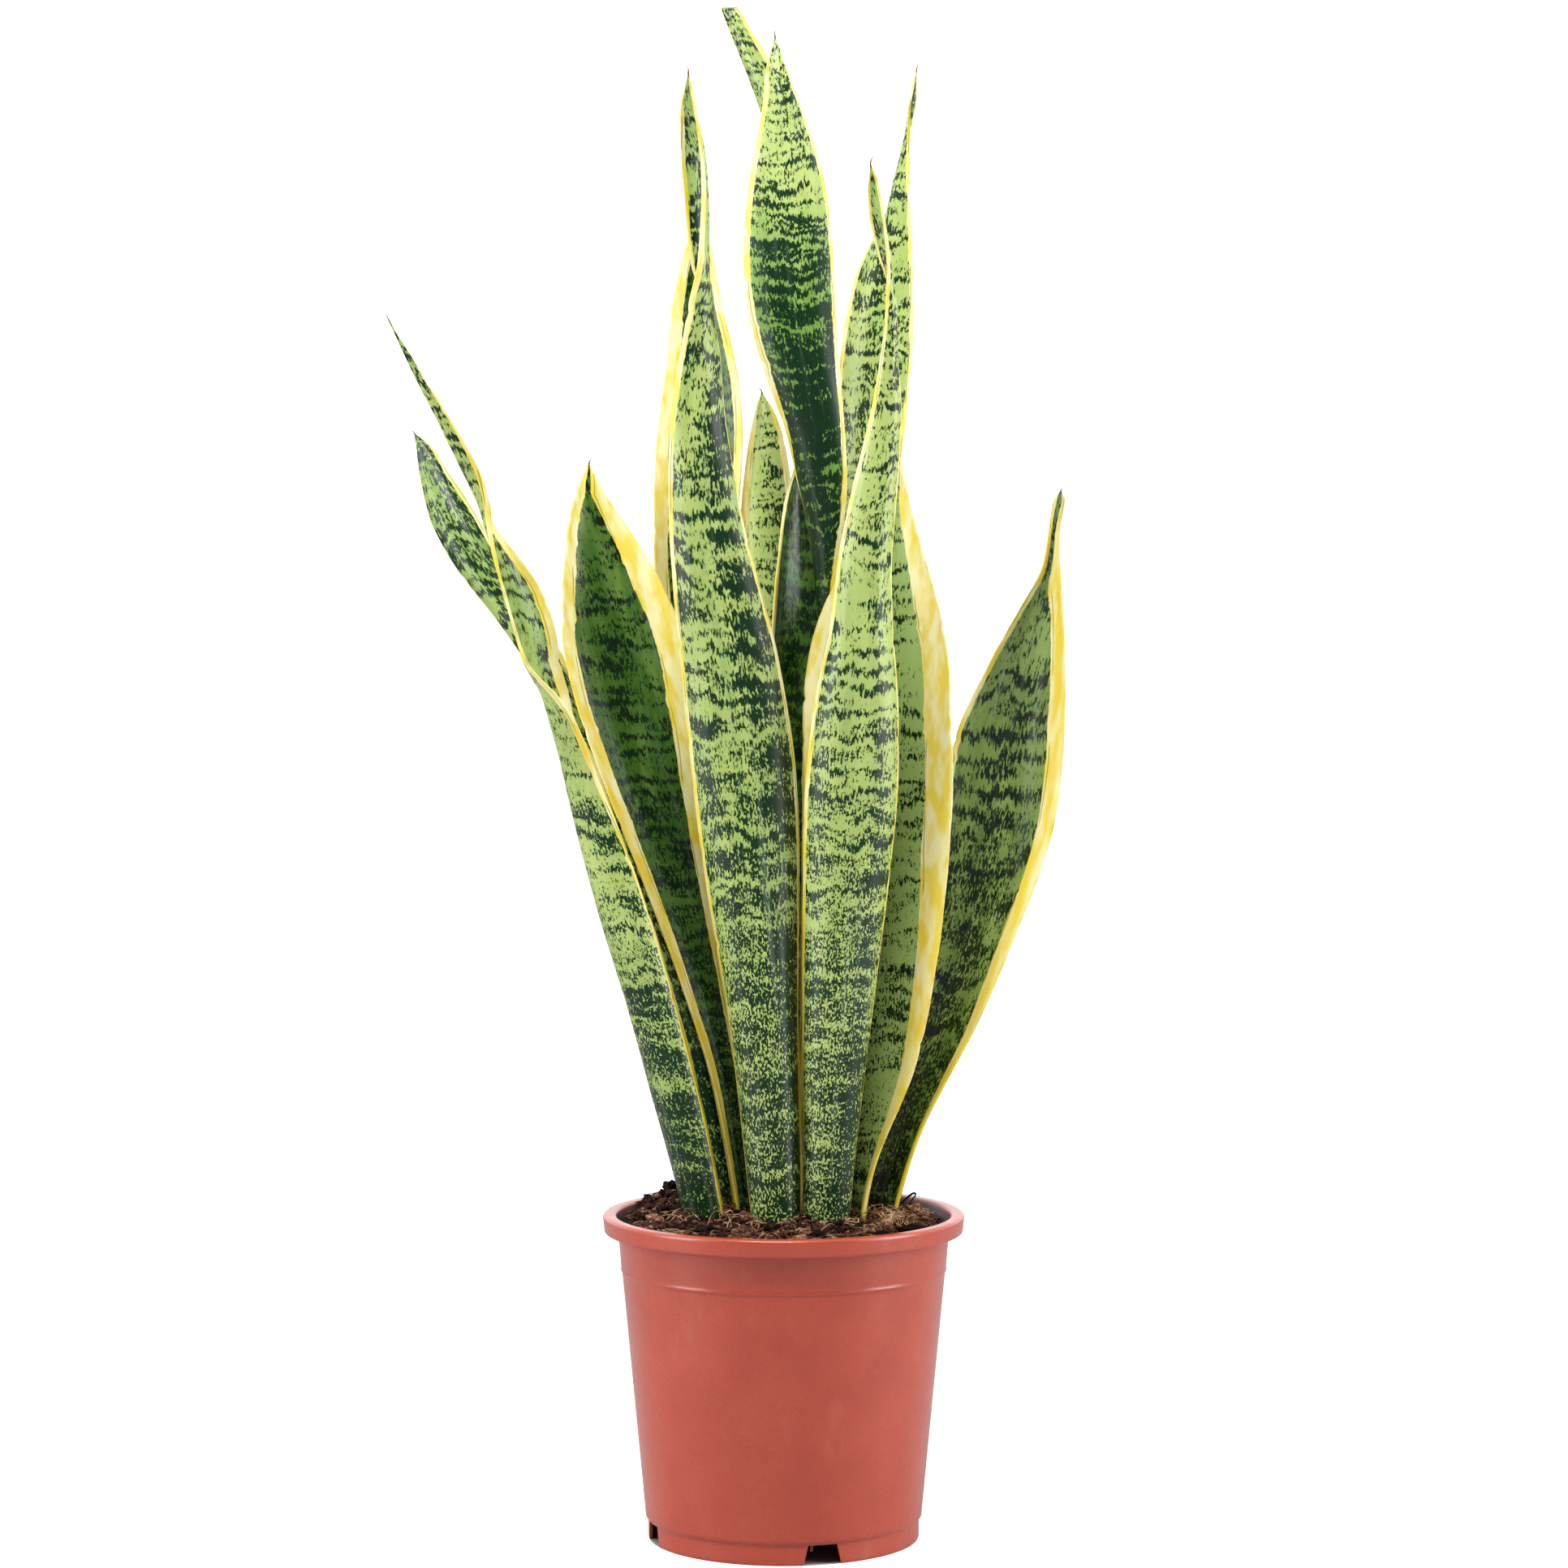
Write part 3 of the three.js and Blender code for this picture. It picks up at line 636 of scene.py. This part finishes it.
# Half of the pot's section, as (radius, height): under the floor, up outside, over, down inside.
POT_SECTION = [
    (0, 12), (76.4, 12), (77, 11.4), (77, 0.6), (77.3, 0.1), (77.7, 0), (78.1, 0), (78.6, 0.2),
    (78.8, 0.8), (78.8, 1.8), (78.9, 10.4), (78.9, 11.2), (79.2, 11.9), (80, 12.5), (80.4, 13.2),
    (80.6, 15), (80.7, 16.5), (93.8, 154.4), (93.9, 155.4), (94.1, 156), (94.5, 156.5), (94.7, 157.1),
    (94.6, 157.8), (94.5, 158.4), (94.6, 159.6), (95.9, 176.4), (96, 177.6), (96.4, 178.6), (97.2, 179),
    (98.2, 179), (103.2, 179), (103.9, 179.2), (104.2, 179.7), (104.3, 180.4), (104.35, 181.2),
    (104.85, 186.4), (104.9, 187), (104.9, 187.8), (104.5, 188.6), (103.8, 189.1), (103, 189.3),
    (102.2, 189.3), (99.8, 189.2), (99, 189.2), (98.2, 189), (97.6, 188.5), (97.2, 187.6), (96.9, 186),
    (96.5, 185), (94.4, 178.6), (94.3, 178), (92.9, 159), (92.2, 155), (79.3, 17), (78.6, 15), (77.4, 14.2),
    (75.8, 14), (0, 14),
]


def turned(angle, bm, verts):
    bmesh.ops.rotate(bm, verts=verts, cent=(0, 0, 0), matrix=Matrix.Rotation(angle, 3, "Z"))


def scratch_object(name, bm):
    bmesh.ops.scale(bm, verts=bm.verts, vec=(MM,) * 3)
    bmesh.ops.translate(bm, verts=bm.verts, vec=POT_AXIS)
    bmesh.ops.recalc_face_normals(bm, faces=bm.faces)
    mesh = bpy.data.meshes.new(name)
    bm.to_mesh(mesh)
    bm.free()
    made = bpy.data.objects.new(name, mesh)
    bpy.context.scene.collection.objects.link(made)
    return made


def make_pot():
    shell = bmesh.new()
    rail = [shell.verts.new((r, 0, z)) for r, z in POT_SECTION]
    edges = [shell.edges.new(pair) for pair in zip(rail, rail[1:])]
    bmesh.ops.spin(shell, geom=rail + edges, cent=(0, 0, 0), axis=(0, 0, 1), angle=math.tau,
                   steps=POT_SIDES, use_merge=True)
    bmesh.ops.remove_doubles(shell, verts=shell.verts, dist=1e-3)
    body = scratch_object("pot_shell", shell)

    ribs = bmesh.new()
    for i in range(RIBS):
        rib = bmesh.ops.create_cube(ribs, size=1)["verts"]
        bmesh.ops.scale(ribs, verts=rib, vec=(31, 1.6, 8))
        bmesh.ops.translate(ribs, verts=rib, vec=(FOOT_INSIDE - 14.5, 0, 9))
        turned(NOTCH_ANGLE - math.radians(2.5) + math.tau * i / RIBS, ribs, rib)
    ribs = scratch_object("pot_ribs", ribs)

    cuts = bmesh.new()
    for i in range(NOTCHES):
        cut = bmesh.ops.create_cube(cuts, size=1)["verts"]
        for vert in cut:
            half_width = 11.5 if vert.co.z < 0 else 8.5
            across = math.copysign(half_width, vert.co.y)
            vert.co = (78 + 24 * vert.co.x, across, 5.25 + 12.5 * vert.co.z)
        turned(NOTCH_ANGLE + math.tau * i / NOTCHES, cuts, cut)
    for i in range(DRAINS + 1):
        hole = bmesh.ops.create_cone(
            cuts, cap_ends=True, segments=32, radius1=DRAIN_RADIUS, radius2=DRAIN_RADIUS, depth=8
        )["verts"]
        if i:
            bmesh.ops.translate(cuts, verts=hole, vec=(50, 0, 0))
            turned(NOTCH_ANGLE + math.tau * (i - 0.5) / DRAINS, cuts, hole)
        bmesh.ops.translate(cuts, verts=hole, vec=(0, 0, 13))
    cuts = scratch_object("pot_cuts", cuts)

    for tool, operation in ((ribs, "UNION"), (cuts, "DIFFERENCE")):
        boolean = body.modifiers.new(operation, "BOOLEAN")
        boolean.object, boolean.operation, boolean.solver = tool, operation, "EXACT"
    bpy.context.view_layer.update()
    made = bpy.data.meshes.new_from_object(body.evaluated_get(bpy.context.evaluated_depsgraph_get()))
    for scratch in (body, ribs, cuts):
        bpy.data.objects.remove(scratch)
    bm = bmesh.new()
    bm.from_mesh(made)
    bmesh.ops.dissolve_degenerate(bm, edges=bm.edges, dist=1e-6)
    pot = finished("terracotta_plastic_pot", bm, [pot_material()], "pot", "nursery_pot")
    pot.data.set_sharp_from_angle(angle=math.radians(38))


make_pot()


# ---- soil ----------------------------------------------------------------------------------
# Peat potting mix: dark crumbs that dry to brown and tan, bits of bark, and loose coir fibres.
def soil_material(name, dark, brown, pale, grit):
    """The vertices' own "dryness" says how far each crumb or fibre has dried out."""
    material, tree, shader = new_material(name)
    dryness = add(tree, "Attribute", {}, out="Fac", attribute_name="dryness")
    place = add(tree, "TexCoord", {}, out="Object")
    specks = add(tree, "TexNoise", {"Vector": place, "Scale": 1 / grit, "Detail": 4.0})
    mixed = add(tree, "Math", {0: specks, 1: 1.6, 2: -0.8}, operation="MULTIPLY_ADD")
    mixed = add(tree, "Math", {0: mixed, 1: dryness}, operation="ADD")
    skin = blend(tree, ranged(tree, mixed, 0.0, 0.5), dark, brown)
    skin = blend(tree, ranged(tree, mixed, 0.5, 1.0), skin, pale)
    tree.links.new(skin, shader.inputs["Base Color"])
    bump = add(tree, "Bump", {"Height": specks, "Strength": 0.8, "Distance": 0.0008})
    tree.links.new(bump, shader.inputs["Normal"])
    shader.inputs["Roughness"].default_value = 0.85
    shader.inputs["Specular IOR Level"].default_value = 0.12
    return material


PEAT = soil_material(
    "peat_potting_mix", colour("#0c0505"), colour("#4e2e24"), colour("#b88a68"), 0.002
)
COIR = soil_material("coir_fibre", colour("#1c0f0b"), colour("#845a3c"), colour("#e0c294"), 0.004)
# Rises and hollows, as in the CAD soil: (x, y, rise, spread) from the pot's axis.
SOIL_LEVEL = 180.5
SOIL_MOUNDS = [(-6, 4, 8, 42), (-68, 36, 13, 22), (-70, -18, 5, 24), (66, 10, 3.5, 26), (40, 62, 4, 30)]
CLODS = [  # (x, y, size, squash across, squash down, turn in degrees, dryness)
    (74, -38, 9.5, 0.4, 0.32, 12, -0.6), (56, -47, 6, 0.5, 0.4, -20, -0.5),
    (77, 15, 6.5, 0.8, 0.62, -15, 0.62), (64, 6, 5.5, 0.7, 0.5, 30, 0.5),
    (-78, 20, 5.5, 0.8, 0.8, 10, 0.1), (-66, 44, 6, 0.7, 0.8, 60, 0),
    (-84, -6, 4.5, 0.8, 0.7, 0, 0.2), (-52, 30, 4.5, 0.8, 0.8, 40, 0.15),
]
SOIL_RADIUS = 93.6
SOIL_RINGS, SOIL_SIDES = 62, 230
FIBRES, MAT_FIBRES = 640, 210


def soil_height(x, y):
    z = SOIL_LEVEL
    for mx, my, rise, spread in SOIL_MOUNDS:
        z += rise * math.exp(-((x - mx) ** 2 + (y - my) ** 2) / (2 * spread**2))
    clods = noise.noise(Vector((x / 13, y / 13, 4.5))) * 2.6
    crumbs = noise.noise(Vector((x / 4.2, y / 4.2, 8.5))) * 1.5
    fine = noise.noise(Vector((x / 1.7, y / 1.7, 2.5))) * 0.5
    return z + clods + crumbs + fine - 0.8


def add_crumb(bm, rng, x, y, size, level, squat, turn, dry):
    """Adds a knobbly lump that sits in the soil's surface."""
    crumb = bmesh.new()
    dryness = crumb.verts.layers.float.new("dryness")
    bmesh.ops.create_icosphere(crumb, subdivisions=level, radius=size)
    shift = Vector((rng.uniform(0, 99), rng.uniform(0, 99), rng.uniform(0, 99)))
    turned_by = Matrix.Rotation(turn, 3, "Z") @ Matrix.Rotation(rng.uniform(-0.5, 0.5), 3, "X")
    centre = Vector((x, y, soil_height(x, y) + 0.25 * size))
    for vert in crumb.verts:
        rough = 1 + 0.55 * noise.noise(vert.co / size * 1.1 + shift)
        rough += 0.3 * noise.noise(vert.co / size * 2.9 + shift)
        if level > 3:
            rough += 0.16 * noise.noise(vert.co / size * 7 + shift)
        vert.co = turned_by @ (vert.co * rough * squat) + centre
        vert[dryness] = dry
    one = bpy.data.meshes.new("crumb")
    crumb.to_mesh(one)
    crumb.free()
    bm.from_mesh(one)
    bpy.data.meshes.remove(one)


def make_soil(rng):
    bm = bmesh.new()
    dryness = bm.verts.layers.float.new("dryness")
    section = [(0, 14.3), (77, 14.3), (79, 17.3), (91.9, 155.4), (92.6, 159.3)]
    section += [(SOIL_RADIUS * (1 - i / SOIL_RINGS), 178) for i in range(SOIL_RINGS + 1)]
    rail = [bm.verts.new((r, 0, z)) for r, z in section]
    edges = [bm.edges.new(pair) for pair in zip(rail, rail[1:])]
    bmesh.ops.spin(bm, geom=rail + edges, cent=(0, 0, 0), axis=(0, 0, 1), angle=math.tau,
                   steps=SOIL_SIDES, use_merge=True)
    bmesh.ops.remove_doubles(bm, verts=bm.verts, dist=1e-3)
    for vert in bm.verts:
        if vert.co.z > 177:
            x, y = vert.co.x, vert.co.y
            vert.co.z = soil_height(x, y)
            vert[dryness] = 0.2 + 0.5 * noise.noise(Vector((x / 9, y / 9, 1)))

    for count, small, big, level in ((1500, 0.7, 1.7, 1), (330, 1.5, 3.0, 2), (46, 3.0, 5.2, 3)):
        for _ in range(count):
            radius, angle = 92 * math.sqrt(rng.random()), rng.uniform(0, math.tau)
            x, y, size = radius * math.cos(angle), radius * math.sin(angle), rng.uniform(small, big)
            x, y = (c * min(1, (92.5 - size) / max(radius, 1)) for c in (x, y))
            squat = Vector((1, rng.uniform(0.6, 1), rng.uniform(0.45, 0.8)))
            turn = rng.uniform(0, math.tau)
            dry = rng.choice((-0.1, 0.05, 0.2, 0.35, 0.5, 0.75))
            add_crumb(bm, rng, x, y, size, level, squat, turn, dry)
    for x, y, size, across, down, turn, dry in CLODS:
        add_crumb(bm, rng, x, y, size, 4, Vector((1, across, down)), math.radians(turn), dry)
    bmesh.ops.scale(bm, verts=bm.verts, vec=(MM,) * 3)
    bmesh.ops.translate(bm, verts=bm.verts, vec=POT_AXIS)
    bmesh.ops.recalc_face_normals(bm, faces=bm.faces)
    finished("peat_soil", bm, [PEAT], "soil", "soil")


def add_strands(bm, strands, dry_low, dry_high):
    """Adds round tapering strands, each (points, radius), to the bmesh."""
    curve = bpy.data.curves.new("strands", "CURVE")
    curve.dimensions = "3D"
    curve.bevel_depth = MM
    curve.bevel_resolution = 1
    curve.resolution_u = 3
    curve.use_fill_caps = True
    for points, radius in strands:
        line = curve.splines.new("NURBS")
        line.points.add(len(points) - 1)
        line.order_u = 4
        line.use_endpoint_u = True
        for i, (point, place) in enumerate(zip(line.points, points)):
            point.co = (*(Vector(place) * MM + POT_AXIS), 1)
            point.radius = radius * (1 - 0.5 * i / (len(points) - 1))
    holder = bpy.data.objects.new("strands", curve)
    bpy.context.scene.collection.objects.link(holder)
    bpy.context.view_layer.update()
    shown = holder.evaluated_get(bpy.context.evaluated_depsgraph_get())
    mesh = bpy.data.meshes.new_from_object(shown)
    bpy.data.objects.remove(holder)
    first = len(bm.verts)
    bm.from_mesh(mesh)
    bm.verts.ensure_lookup_table()
    dryness = bm.verts.layers.float["dryness"]
    middle, spread = (dry_low + dry_high) / 2, dry_high - dry_low
    for vert in bm.verts[first:]:
        vert[dryness] = middle + spread * noise.noise(vert.co * 60)


def make_fibres(rng):
    bm = bmesh.new()
    bm.verts.layers.float.new("dryness")
    strands = []
    for i in range(FIBRES):
        on_mat = i < MAT_FIBRES  # a tangle of fibres lies to the right of the leaves
        if on_mat:
            x, y = rng.gauss(68, 11), rng.gauss(8, 22)
        else:
            radius, angle = 88 * math.sqrt(rng.random()), rng.uniform(0, math.tau)
            x, y = radius * math.cos(angle), radius * math.sin(angle)
        length = rng.uniform(6, 26)
        heading = rng.uniform(0, math.tau)
        curl = rng.gauss(0, 0.5)
        arch = rng.choice((0.5, 1.0, 1.5, 2.5, 5.0)) * length / 20
        points = []
        for k in range(6):
            if math.hypot(x, y) > 91:
                break
            bump = arch * math.sin(math.pi * k / 5) + rng.uniform(-0.2, 0.5)
            points.append((x, y, soil_height(x, y) + 0.7 + bump))
            heading += curl * rng.uniform(0.4, 1.4)
            x += math.cos(heading) * length / 5
            y += math.sin(heading) * length / 5
        if len(points) > 3:
            strands.append((points, rng.uniform(0.16, 0.42)))
    add_strands(bm, strands, -0.05, 0.95)
    root = [(68, 36, 188), (71, 38, 190.5), (74, 40, 193), (76.5, 40, 195), (78.3, 40, 194.6),
            (77.6, 39, 192.8), (75.5, 38, 191), (74, 37, 188)]
    add_strands(bm, [(root, 0.8)], -0.5, -0.1)
    bmesh.ops.remove_doubles(bm, verts=bm.verts, dist=1e-7)
    bmesh.ops.recalc_face_normals(bm, faces=bm.faces)
    finished("coir_fibres", bm, [COIR], "soil")


make_soil(random.Random(11))
make_fibres(random.Random(23))


# ---- room, light and camera ----------------------------------------------------------------
CAMERA_AWAY = 2.439  # in front of the pot's axis
CAMERA_HEIGHT = 0.558
CAMERA_TURN = 87.2  # from straight down, in degrees
CAMERA_LENS = 96.9
POT_FOOTPRINT = 0.0785  # no glow inside it, so the foot notches stay dark


def studio():
    bm = bmesh.new()
    bmesh.ops.create_grid(bm, x_segments=1, y_segments=1, size=12)
    mesh = bpy.data.meshes.new("studio_floor")
    bm.to_mesh(mesh)
    bm.free()
    floor = bpy.data.objects.new("studio_floor", mesh)
    bpy.context.scene.collection.objects.link(floor)
    material, paper_tree, shader = new_material("white_paper")
    shader.inputs["Base Color"].default_value = colour("#a6a6a6")
    shader.inputs["Roughness"].default_value = 0.9
    shader.inputs["Emission Color"].default_value = (1, 1, 1, 1)
    seen = add(paper_tree, "LightPath", {}, out="Is Camera Ray")
    place = add(paper_tree, "TexCoord", {}, out="Object")
    place = add(paper_tree, "VectorMath", {0: place, 1: POT_AXIS}, operation="SUBTRACT")
    from_pot = add(paper_tree, "VectorMath", {0: place}, out="Value", operation="LENGTH")
    beyond = add(paper_tree, "Math", {0: from_pot, 1: POT_FOOTPRINT}, operation="GREATER_THAN")
    glow = add(paper_tree, "Math", {0: seen, 1: beyond}, operation="MULTIPLY")
    paper_tree.links.new(glow, shader.inputs["Emission Strength"])
    mesh.materials.append(material)

    world = bpy.data.worlds.new("white_studio")
    bpy.context.scene.world = world
    world.use_nodes = True
    tree = world.node_tree
    background = tree.nodes["Background"]
    seen = add(tree, "LightPath", {}, out="Is Camera Ray")
    heading = add(tree, "TexCoord", {}, out="Generated")
    backward = add(tree, "SeparateXYZ", {0: heading}, out="Y")
    wall = ranged(tree, backward, -0.4, 0.6, (0.1, 1.3))  # darker towards the front
    strength = add(tree, "Math", {0: wall, 1: seen}, operation="MAXIMUM")
    strength = add(tree, "Math", {0: strength, 1: seen}, operation="ADD")
    tree.links.new(strength, background.inputs["Strength"])
    background.inputs["Color"].default_value = (1, 1, 1, 1)

    target = Vector((POT_AXIS.x, POT_AXIS.y, 0.45))
    for name, place, size, power in (
        ("left_softbox", (-1.7, -0.7, 0.75), (0.8, 1.6), 26),
        ("right_softbox", (1.7, -0.5, 0.75), (0.8, 1.6), 28),
        ("front_top_softbox", (-0.2, -1.15, 2.5), (1.2, 0.6), 48),
    ):
        light = bpy.data.lights.new(name, "AREA")
        light.shape = "RECTANGLE"
        light.size, light.size_y = size
        light.energy = power
        lamp = bpy.data.objects.new(name, light)
        lamp.location = place
        lamp.rotation_euler = (target - Vector(place)).to_track_quat("-Z", "Y").to_euler()
        bpy.context.scene.collection.objects.link(lamp)

    camera_data = bpy.data.cameras.new("camera")
    camera_data.sensor_width = 36
    camera_data.lens = CAMERA_LENS
    camera_data.clip_end = 50
    camera = bpy.data.objects.new("camera", camera_data)
    camera.location = (POT_AXIS.x + 0.0002, POT_AXIS.y - CAMERA_AWAY, CAMERA_HEIGHT)
    camera.rotation_euler = (math.radians(CAMERA_TURN), 0, 0)
    bpy.context.scene.collection.objects.link(camera)
    bpy.context.scene.camera = camera
    bpy.context.scene.view_settings.view_transform = "Standard"


studio()
